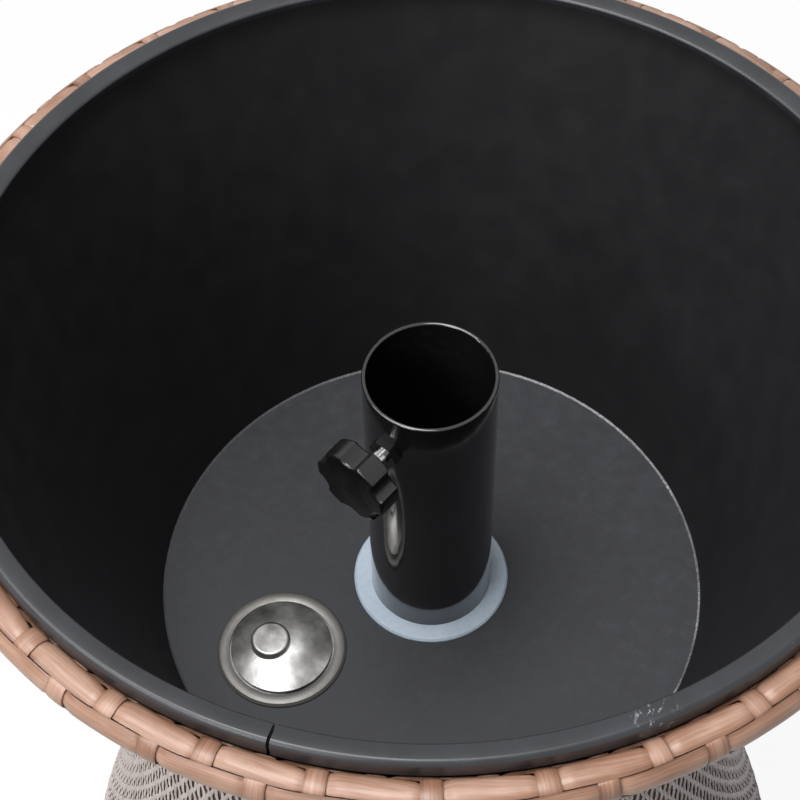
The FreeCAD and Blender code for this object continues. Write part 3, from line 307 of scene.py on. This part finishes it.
def cord_finish():
    """Light cord with slanting turns."""
    finish = Finish("binding_cord")
    along = finish.place((1, 1, 1), uv="strip")
    wave = finish.node("ShaderNodeTexWave", {"Vector": along, "Scale": 130.0, "Distortion": 0.6},
                       bands_direction="DIAGONAL").outputs["Fac"]
    soft = finish.noise(along, 90.0, 3.0)
    half_wave = finish.calc("MULTIPLY", wave, 0.5)
    level = finish.calc("ADD", half_wave, finish.calc("MULTIPLY", soft, 0.5))
    stops = ((0.2, (126, 118, 113)), (0.55, (164, 157, 152)), (0.9, (192, 187, 183)))
    finish.set("Base Color", finish.ramp(level, stops))
    finish.set("Roughness", finish.span(soft, 0.3, 0.7, 0.5, 0.65))
    finish.bump(wave, 0.5, 0.4 * MM)
    return finish


def drain_centre():
    low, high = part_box("drain_flange")
    return (Vector(low) + Vector(high)) / 2


# Meshes of strips and cords

SHARP_DEG = 50


def ring_point(out, turn, z):
    """A point at a radius, an angle in radians and a height, from millimetres to metres."""
    return (out * math.cos(turn) * MM, out * math.sin(turn) * MM, z * MM)


class Strips:
    """A mesh of swept strips, with UVs along each, a tint for each and a measure of edge nearness that the
    wicker finish uses for painted shade at the edges.
    """

    def __init__(self, name):
        self.name = name
        self.verts = []
        self.faces = []
        self.uvs = []
        self.tints = []
        self.edges = []

    def sweep(self, sections, closed, tint=0.5, edges=None):
        """sections: rings of points. closed: the strip returns to its start. edges: 0 to 1 for each point,
        the share of painted shade there.
        """
        base = len(self.verts)
        size = len(sections[0])
        count = len(sections)
        lengths = [0.0]
        for number in range(1, count + 1):
            gap = (Vector(sections[number % count][0]) - Vector(sections[number - 1][0])).length
            lengths.append(lengths[-1] + gap)
        girth = [0.0]
        for point in range(size):
            gap = (Vector(sections[0][(point + 1) % size]) - Vector(sections[0][point])).length
            girth.append(girth[-1] + gap)
        for section in sections:
            self.verts.extend(section)
            self.edges.extend(edges or [0.0] * size)
        offset = random.random() * 3
        for row in range(count if closed else count - 1):
            after = (row + 1) % count
            for point in range(size):
                beside = (point + 1) % size
                self.faces.append((base + row * size + point, base + row * size + beside,
                                   base + after * size + beside, base + after * size + point))
                u0, u1 = lengths[row] + offset, lengths[row + 1] + offset
                v0, v1 = girth[point] + offset, girth[point + 1] + offset
                self.uvs.extend((u0, v0, u0, v1, u1, v1, u1, v0))
                self.tints.append(tint)
        if not closed:
            for row, flip in ((0, True), (count - 1, False)):
                cap = [base + row * size + point for point in range(size)]
                self.faces.append(tuple(reversed(cap)) if flip else tuple(cap))
                self.uvs.extend([offset, offset] * size)
                self.tints.append(tint)

    def build(self, place=None):
        mesh = bpy.data.meshes.new(self.name)
        mesh.from_pydata([tuple(v) for v in self.verts], [], self.faces)
        layer = mesh.uv_layers.new(name="strip")
        layer.data.foreach_set("uv", self.uvs)
        tint = mesh.attributes.new("tint", "FLOAT", "FACE")
        tint.data.foreach_set("value", self.tints)
        edge = mesh.attributes.new("edge", "FLOAT", "POINT")
        edge.data.foreach_set("value", self.edges)
        if place is not None:
            mesh.transform(place)
        mesh.validate()
        mesh.polygons.foreach_set("use_smooth", [True] * len(mesh.polygons))
        mesh.set_sharp_from_angle(angle=math.radians(SHARP_DEG))
        made = bpy.data.objects.new(self.name, mesh)
        bpy.context.scene.collection.objects.link(made)
        return made


def ease(value):
    value = min(1.0, max(0.0, value))
    return value * value * (3 - 2 * value)


def mixed(a, b, share):
    return a + (b - a) * share


def finish_piece(piece, body, slot, material, *nodes):
    piece.data.materials.append(material)
    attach(piece, body)
    if nodes:
        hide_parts(*nodes)


# Woven rim

RIM_RADIUS = 210.712
RIM_HEIGHT = 534.5
STAKES = 66
PITCH_DEG = 360 / STAKES
LOW_LEVEL = 6.85
HIGH_LEVEL = 7.86
HALF_STRIP = 0.44
STAKE_HALF = 4.0
TOP, OUTER, INNER, UNDER = range(4)
ROW_EDGES = {UNDER: (-100, -24), OUTER: (-22, 58), TOP: (60, 139), INNER: (141, 194)}
EVEN_OVER = {TOP, UNDER}
SAW_LOW, SAW_HIGH = 118, 149
STAKE_START, STAKE_END = -100.0, 194.0
STAKE_SECTION = ((-1, 0.18), (-0.72, 0.4), (0, 0.46), (0.72, 0.4), (1, 0.18), (1, -0.35), (-1, -0.35))
FRONT_DEG = 270.0
CORD_REACH, CORD_ANGLE, CORD_THICK = 10.3, math.radians(-70), 1.7


def bead(radius, height, azimuth, reach, phi):
    """A point on the rim's bead: phi is the angle round the tube, from outward."""
    out = radius + reach * math.cos(math.radians(phi))
    z = height + reach * math.sin(math.radians(phi))
    return ring_point(out, math.radians(azimuth), z)


def row_level(row, period):
    """Height of a row's strip over the tube; period runs 0 to 1 from one even stake to the next.

    The strip lies close against a strap's left side and leaves a crease on its right.
    """
    crossing = 0.0 if row in EVEN_OVER else 0.5
    away = ((period - crossing + 0.5) % 1.0 - 0.5) * 2 * PITCH_DEG
    arc = math.radians(abs(away)) * RIM_RADIUS
    if away < 0:
        dip = ease((arc - STAKE_HALF * 0.62) / 3.4)
    else:
        dip = ease((arc - STAKE_HALF * 0.92) / 4.6)
    swell = 0.06 * math.sin(math.pi * min(1.0, arc / (PITCH_DEG * 3.7)))
    return mixed(LOW_LEVEL, HIGH_LEVEL, dip) + swell


def row_limits(row, period):
    """Edges of a row in degrees round the tube; the top row's inner edge is a sawtooth."""
    start, end = ROW_EDGES[row]
    if period < 0.08:
        saw = mixed(SAW_LOW, SAW_HIGH, ease(period / 0.08))
    elif period < 0.4:
        saw = SAW_HIGH
    elif period < 0.92:
        saw = mixed(SAW_HIGH, SAW_LOW, (period - 0.4) / 0.52)
    else:
        saw = SAW_LOW
    if row == TOP:
        lean = 4.0 * math.sin(2 * math.pi * period)
        return start + lean * 0.5, saw - 1.0
    if row == INNER:
        lens = ease((period - 0.76) / 0.07) * 13 * ease((1.04 - period) / 0.08)
        return saw + 1.5 + lens, end
    if row == OUTER:
        lean = 4.0 * math.sin(2 * math.pi * period)
        return start, end + lean * 0.5 - 1.0
    return start, end


def add_row(strips, row, radius, height, limits, flip=1.0):
    per_pitch = 14
    count = STAKES * per_pitch
    across = 6
    sections = []
    shade_phase = random.random() * 6
    for number in range(count):
        azimuth = FRONT_DEG + number * 360.0 / count
        period = (number / per_pitch % 2) / 2
        start, end = limits(row, period)
        level = row_level(row, period)
        outer, inner = [], []
        for step in range(across + 1):
            share = step / across
            u = share * 2 - 1
            sag = 0.34 * abs(u) ** 3
            phi = mixed(start, end, share) * flip
            outer.append(bead(radius, height, azimuth, level + HALF_STRIP - sag, phi))
            if step in (0, 2, 4, 6):
                inner.append(bead(radius, height, azimuth, level - HALF_STRIP - sag * 0.35, phi))
        ring = outer + inner[::-1]
        sections.append(ring if flip > 0 else ring[::-1])
    # Edge weights for painted shade: rising towards the strip's sides, full on its underside.
    edges = [abs(step / across * 2 - 1) ** 3 for step in range(across + 1)] + [1.0] * 4
    strips.sweep(sections, True, 0.5 + 0.2 * math.sin(shade_phase), edges)


def stake_level(edges, even, phi):
    """A stake is over the rows of its own kind and under the others."""
    level = LOW_LEVEL
    for row, (start, end) in edges.items():
        if (row in EVEN_OVER) == even:
            rise = ease((phi - start + 7) / 9) * ease((end + 7 - phi) / 9)
            level = max(level, mixed(LOW_LEVEL, HIGH_LEVEL, rise))
    return level


def add_stake(strips, number, radius, height, start, end, level_of):
    azimuth = FRONT_DEG + number * PITCH_DEG
    steps = 50
    sections = []
    half = STAKE_HALF * mixed(0.96, 1.02, random.random())
    skew = mixed(-0.12, 0.12, random.random())
    for step in range(steps + 1):
        phi = mixed(start, end, step / steps)
        level = level_of(phi)
        ring = []
        for u, rise in STAKE_SECTION:
            slide = (u * half + skew * (phi - 90) / 30) / radius
            ring.append(bead(radius, height, azimuth + math.degrees(slide), level + rise, phi))
        sections.append(ring[::-1])
    # Edge weights for painted shade: none on the strap's crown, full on its sides and underside.
    strips.sweep(sections, False, 0.35 + 0.5 * random.random(), [1.0, 1.0, 1.0, 0.4, 0.0, 0.4, 1.0])


def make_rim(materials):
    rows = Strips("rim_rows")
    for row in (UNDER, OUTER, TOP, INNER):
        add_row(rows, row, RIM_RADIUS, RIM_HEIGHT, row_limits)
    finish_piece(rows.build(), "table", "wicker", materials["wicker"],
                 "rim_weaver_top", "rim_weaver_outer", "rim_weaver_inner", "rim_weaver_under")
    stakes = Strips("rim_straps")
    for number in range(STAKES):
        even = number % 2 == 0
        add_stake(stakes, number, RIM_RADIUS, RIM_HEIGHT, STAKE_START, STAKE_END,
                  lambda phi: stake_level(ROW_EDGES, even, phi))
    finish_piece(stakes.build(), "table", "wicker", materials["wicker"], "rim_stakes")
    cord = Strips("rim_cord")
    cord_radius = RIM_RADIUS + CORD_REACH * math.cos(CORD_ANGLE)
    cord_height = RIM_HEIGHT + CORD_REACH * math.sin(CORD_ANGLE)
    add_cord(cord, cord_radius, cord_height, CORD_THICK, 420, 0.14, 66)
    finish_piece(cord.build(), "table", "binding_cord", materials["binding_cord"], "rim_binding")


def add_cord(strips, radius, height, thick, count, ripple, turns):
    """A closed cord of count sections, its surface rippled as by twisted turns."""
    sections = []
    for number in range(count):
        turn = 2 * math.pi * number / count
        ring = []
        for side in range(8):
            angle = 2 * math.pi * side / 8
            reach = thick - ripple * (0.5 + 0.5 * math.sin(angle * 2 + turn * turns))
            out = radius + reach * math.cos(angle)
            ring.append(ring_point(out, turn, height + reach * math.sin(angle)))
        sections.append(ring[::-1])
    strips.sweep(sections, True, 0.5)


# Edge trim

TOTAL_HEIGHT = 550.0
TRIM_OUTER = 204.312
TRIM_INNER = 195.112
TRIM_SEAM_AZIMUTH = 254.0
TRIM_SEAM_ANGLE = 0.35
SHEET = 1.5


def quarter(centre_r, centre_z, radius, start, end, steps=8):
    """Points of an arc in the plane of radius and height, angles in degrees from outward."""
    points = []
    for step in range(steps + 1):
        angle = math.radians(mixed(start, end, step / steps))
        points.append((centre_r + radius * math.cos(angle), centre_z + radius * math.sin(angle)))
    return points


def make_trim(materials):
    """The edge strip with the same section as its solid, swept finely, with its butt joint."""
    outer_round, inner_round, fall = 2.6, 1.5, 1.7
    skirt, lip, tuck, slot_top = 541.4, 544.8, 541.12, 543.2
    wall = SHEET * SLANT
    top = TOTAL_HEIGHT
    section = [(TRIM_OUTER, skirt)]
    section += quarter(TRIM_OUTER - outer_round, top - outer_round, outer_round, 0, 84)
    section += quarter(TRIM_INNER + inner_round, top - fall - inner_round, inner_round, 100, 180)
    section += [(TRIM_INNER, lip), (wall_outside(tuck) - wall - 0.1, tuck)]
    section += [(wall_outside(slot_top) - wall - 0.1, slot_top), (wall_outside(slot_top) + 0.1, slot_top)]
    section += [(wall_outside(skirt) + 0.1, skirt)]
    strip = Strips("rim_edge_strip")
    count = 720
    sections = []
    for number in range(count + 1):
        share = number / count
        turn = math.radians(TRIM_SEAM_AZIMUTH + TRIM_SEAM_ANGLE / 2 + (360 - TRIM_SEAM_ANGLE) * share)
        ring = [ring_point(r, turn, z) for r, z in section]
        sections.append(ring[::-1])
    strip.sweep(sections, False)
    finish_piece(strip.build(), "table", "trim_plastic", materials["trim_plastic"], "rim_trim")


# Woven skins of bowl and base

FLOOR_RADIUS, FLOOR_Z = 136.0, 331.0
SLOPE = 67.5 / 219.0
SLANT = math.sqrt(1 + SLOPE * SLOPE)
BASE_RADIUS, FLARE_RADIUS = 222.0, 1430.0
PIECE_GAP, RIB_RADIUS, RIB_GAP = 0.3, 2.5, 0.2
WAIST_Z = 327.0
BEND_Z = 510.0
SKIN_TOP_Z = 525.3
THICK = 4.2
SKIN_TOP_RADIUS = RIM_RADIUS + 1.3


def wall_outside(z):
    return FLOOR_RADIUS + SHEET * math.sqrt(1 + SLOPE * SLOPE) + (z - FLOOR_Z) * SLOPE


def bowl_outside(z):
    """Outside of the bowl's skin: the wall, a gap, the ribs, then the weave."""
    ribs = RIB_RADIUS * SLANT
    low = wall_outside(z) + PIECE_GAP + ribs + (RIB_RADIUS + RIB_GAP) * SLANT + THICK * SLANT
    if z <= BEND_Z:
        return low
    at_bend = bowl_outside(BEND_Z)
    return mixed(at_bend, SKIN_TOP_RADIUS, (z - BEND_Z) / (SKIN_TOP_Z - BEND_Z))


def base_outside(z):
    """Outside of the base's skin: an arc from the waist to the ground."""
    waist = bowl_outside(WAIST_Z)
    run = BASE_RADIUS - waist
    chord = math.hypot(run, WAIST_Z)
    bow = math.sqrt(FLARE_RADIUS ** 2 - chord ** 2 / 4)
    centre = (waist + BASE_RADIUS) / 2 + bow * WAIST_Z / chord
    centre_z = WAIST_Z / 2 + bow * run / chord
    return centre - math.sqrt(FLARE_RADIUS ** 2 - (z - centre_z) ** 2)


STRANDS = 264
PERIOD = 17.0
NET_SECTION = ((-1, 0.65), (-0.45, 0.15), (0.45, 0.15), (1, 0.65), (0.6, 1.25), (-0.6, 1.25))
NET_SWAY, NET_HALF, NET_RISE = 0.27, 0.31, 0.3
BACKING_DEPTH, BACKING_BACK = 1.8, 4.0


def make_net(name, outline, bottom, top, node, materials):
    """Fishnet of steep wavy strands over a thin dark backing shell, which is painted shade standing in for
    the dark seen between the strands.
    """
    net = Strips(name)
    samples = max(2, round((top - bottom) / PERIOD * 6))
    levels = [mixed(bottom, top, step / samples) for step in range(samples + 1)]
    radii = [outline(z) for z in levels]
    for number in range(STRANDS):
        azimuth = 2 * math.pi * number / STRANDS
        phase = math.pi * (number % 2) + random.uniform(-0.12, 0.12)
        thick = random.uniform(0.94, 1.06)
        sections = []
        for z, radius in zip(levels, radii):
            pitch = 2 * math.pi * radius / STRANDS
            wave = math.sin(2 * math.pi * (z - bottom) / PERIOD + phase)
            sway = wave * NET_SWAY * pitch
            rise = NET_RISE * math.cos(4 * math.pi * (z - bottom) / PERIOD)
            half = pitch * NET_HALF * thick
            crest = radius - 0.45 + rise * (1 if number % 2 else -1)
            ring = []
            for slide, depth in NET_SECTION:
                slide *= half
                ring.append(ring_point(crest - depth, azimuth + (sway + slide) / radius, z))
            sections.append(ring)
        net.sweep(sections, False, random.random())
    finish_piece(net.build(), "table", "wicker", materials["net"], node)
    shell = Strips(name + "_backing")
    rings = 96
    sections = []
    for number in range(rings * 2):
        angle = math.pi * number / rings
        ring = []
        for z, radius in zip(levels[::3], radii[::3]):
            ring.append(ring_point(radius - BACKING_DEPTH, angle, z))
        for z, radius in zip(levels[::-3], radii[::-3]):
            ring.append(ring_point(radius - BACKING_BACK, angle, z))
        sections.append(ring)
    shell.sweep(sections, True)
    finish_piece(shell.build(), "table", "wicker", materials["backing"])


# Lid, made flat about its own axis and leant against the back

LID_CENTRE = Vector((0, 270.102532, 204.915037))
LID_LEAN = math.radians(24)
LID_BEAD = 8.9
LID_WEAVE_BOTTOM, LID_WEAVE_TOP = 10.6, 14.1
LID_EDGE = 204.2
LID_HOLE = 33.4


def lid_place():
    normal = Vector((0, -math.cos(LID_LEAN), -math.sin(LID_LEAN)))
    turn = Vector((0, 0, 1)).rotation_difference(normal).to_matrix().to_4x4()
    return Matrix.Translation(LID_CENTRE * MM) @ turn


LID_ROWS = {UNDER: (-119, -44), OUTER: (-42, 34), TOP: (36, 119)}
LID_STAKE_END = 119.0
LID_STRIP = ((-1, 0.1), (-0.6, 0.42), (0.6, 0.42), (1, 0.1), (1, -0.35), (-1, -0.35))
LID_BACKING = ((LID_HOLE, 10.65), (LID_EDGE, 10.65), (LID_EDGE, 11.05), (LID_HOLE, 11.05))


def lid_limits(row, period):
    start, end = LID_ROWS[row]
    lean = 2.0 * math.sin(2 * math.pi * period)
    if row == OUTER:
        return start, end + lean - 1
    if row == TOP:
        return start + lean, end
    return start, end


def make_lid(materials):
    place = lid_place()
    edge = Strips("lid_edge")
    for row in LID_ROWS:
        add_row(edge, row, RIM_RADIUS, LID_BEAD, lid_limits)
    for number in range(STAKES):
        even = number % 2 == 0
        add_stake(edge, number, RIM_RADIUS, LID_BEAD, -LID_STAKE_END, LID_STAKE_END,
                  lambda phi: stake_level(LID_ROWS, even, phi))
    finish_piece(edge.build(place), "lid", "wicker", materials["wicker"], "lid_edge_weave")
    top = Strips("lid_top")
    spacing = 11.0
    half = 4.9
    middle = (LID_WEAVE_BOTTOM + LID_WEAVE_TOP) / 2
    lanes = int(LID_EDGE // spacing)
    for turn in (0, 1):
        for lane in range(-lanes, lanes + 1):
            offset = lane * spacing
            reach = math.sqrt(max(0.0, (LID_EDGE - 0.6) ** 2 - (abs(offset) + half) ** 2))
            hole = (LID_HOLE + 0.6) ** 2 - max(0.0, abs(offset) - half) ** 2
            spans = [(-reach, reach)]
            if hole > 0:
                spans = [(-reach, -math.sqrt(hole)), (math.sqrt(hole), reach)]
            for low, high in spans:
                if high - low < 6:
                    continue
                steps = max(3, round((high - low) / 2.2))
                sections = []
                for step in range(steps + 1):
                    at = mixed(low, high, step / steps)
                    wave = math.cos(math.pi * at / spacing)
                    side = 1 if (lane + turn) % 2 == 0 else -1
                    lift = middle + side * 0.62 * math.copysign(abs(wave) ** 0.7, wave)
                    ring = []
                    for u, rise in LID_STRIP:
                        x, y = (at, offset + u * half) if turn == 0 else (offset + u * half, at)
                        ring.append((x * MM, y * MM, (lift + rise) * MM))
                    sections.append(ring if turn == 1 else ring[::-1])
                top.sweep(sections, False, random.random())
    backing = []
    for number in range(96):
        angle = 2 * math.pi * number / 96
        ring = []
        for out, z in LID_BACKING:
            ring.append(ring_point(out, angle, z))
        backing.append(ring[::-1])
    top.sweep(backing, True, 0.0)
    finish_piece(top.build(place), "lid", "wicker", materials["wicker"], "lid_weave")


# Hem

HEM_THICK = 2.4


def make_hem(materials):
    hem = Strips("base_hem_cord")
    low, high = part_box("base_hem")
    radius = (high[0] - low[0]) / 2 / MM - HEM_THICK
    add_cord(hem, radius, (low[2] + high[2]) / 2 / MM, HEM_THICK, 480, 0.3, 132)
    finish_piece(hem.build(), "table", "wicker", materials["net"], "base_hem")


# Light and ground

def area(name, place, aim, size, watts, colour):
    data = bpy.data.lights.new(name, "AREA")
    data.shape = "RECTANGLE"
    data.size = size[0]
    data.size_y = size[1]
    data.energy = watts
    data.color = colour
    lamp = bpy.data.objects.new(name, data)
    bpy.context.scene.collection.objects.link(lamp)
    lamp.location = place
    lamp.rotation_euler = (Vector(place) - Vector(aim)).to_track_quat("Z", "Y").to_euler()
    return lamp


def around(azimuth, elevation, distance):
    a, e = math.radians(azimuth), math.radians(elevation)
    return Vector((math.cos(e) * math.cos(a), math.cos(e) * math.sin(a), math.sin(e))) * distance


def make_light():
    middle = Vector((0, 0, 0.45))
    area("key", middle + around(208, 44, 2.6), middle, (2.6, 0.6), 40, (1.0, 0.985, 0.965))
    area("low", middle + around(238, 26, 2.6), middle, (0.9, 0.4), 12, (1.0, 0.99, 0.98))
    area("top", middle + around(200, 78, 2.4), middle, (1.5, 1.0), 56, (1.0, 1.0, 1.0))
    world = bpy.data.worlds.new("white")
    bpy.context.scene.world = world
    world.use_nodes = True
    tree = world.node_tree
    soft = tree.nodes["Background"]
    soft.inputs["Color"].default_value = (0.94, 0.97, 1.0, 1.0)
    soft.inputs["Strength"].default_value = 0.12
    white = tree.nodes.new("ShaderNodeBackground")
    white.inputs["Color"].default_value = (1, 1, 1, 1)
    white.inputs["Strength"].default_value = 1.0
    seen = tree.nodes.new("ShaderNodeLightPath")
    either = tree.nodes.new("ShaderNodeMath")
    either.operation = "MAXIMUM"
    both = tree.nodes.new("ShaderNodeMath")
    both.operation = "MAXIMUM"
    mix = tree.nodes.new("ShaderNodeMixShader")
    tree.links.new(seen.outputs["Is Camera Ray"], either.inputs[0])
    tree.links.new(seen.outputs["Is Glossy Ray"], either.inputs[1])
    tree.links.new(either.outputs[0], both.inputs[0])
    tree.links.new(seen.outputs["Is Transmission Ray"], both.inputs[1])
    tree.links.new(both.outputs[0], mix.inputs[0])
    tree.links.new(soft.outputs[0], mix.inputs[1])
    tree.links.new(white.outputs[0], mix.inputs[2])
    tree.links.new(mix.outputs[0], tree.nodes["World Output"].inputs["Surface"])


def make_ground():
    mesh = bpy.data.meshes.new("ground")
    half = 6.0
    corners = [(-half, -half, 0), (half, -half, 0), (half, half, 0), (-half, half, 0)]
    mesh.from_pydata(corners, [], [(0, 1, 2, 3)])
    ground = bpy.data.objects.new("ground", mesh)
    bpy.context.scene.collection.objects.link(ground)
    finish = Finish("ground_white", Roughness=0.9)
    seen = finish.node("ShaderNodeLightPath")
    lit, bounced = (0.88, 0.88, 0.88, 1), (0.26, 0.26, 0.26, 1)
    finish.set("Base Color", finish.mix(seen.outputs["Is Diffuse Ray"], lit, bounced))
    glow = finish.node("ShaderNodeEmission", {"Color": (1, 1, 1, 1), "Strength": 1.0})
    mix = finish.node("ShaderNodeMixShader")
    shown = finish.calc("MAXIMUM", seen.outputs["Is Camera Ray"], seen.outputs["Is Glossy Ray"])
    shown = finish.calc("MAXIMUM", shown, seen.outputs["Is Transmission Ray"])
    finish.feed(mix.inputs[0], finish.calc("MULTIPLY", shown, 0.93))
    finish.feed(mix.inputs[1], finish.shader.outputs[0])
    finish.feed(mix.inputs[2], glow.outputs[0])
    finish.feed(finish.tree.nodes["Material Output"].inputs["Surface"], mix.outputs[0])
    mesh.materials.append(finish.material)


def dress_nodes(materials):
    slots = {part["node"]: part["material_slot"] for part in frame["record"]["subparts"]}
    for name, node in frame["nodes"].items():
        for slot in node.material_slots:
            slot.material = materials[slots[name]]


materials = make_materials()
make_camera()
make_light()
make_ground()
dress_nodes(materials)
make_trim(materials)
make_rim(materials)
make_net("bowl_net", bowl_outside, WAIST_Z + 0.1, SKIN_TOP_Z - 0.3, "bowl_weave", materials)
make_net("base_net", base_outside, 7.6, WAIST_Z - 0.2, "base_weave", materials)
make_hem(materials)
make_lid(materials)
bpy.context.scene.view_settings.view_transform = "Standard"
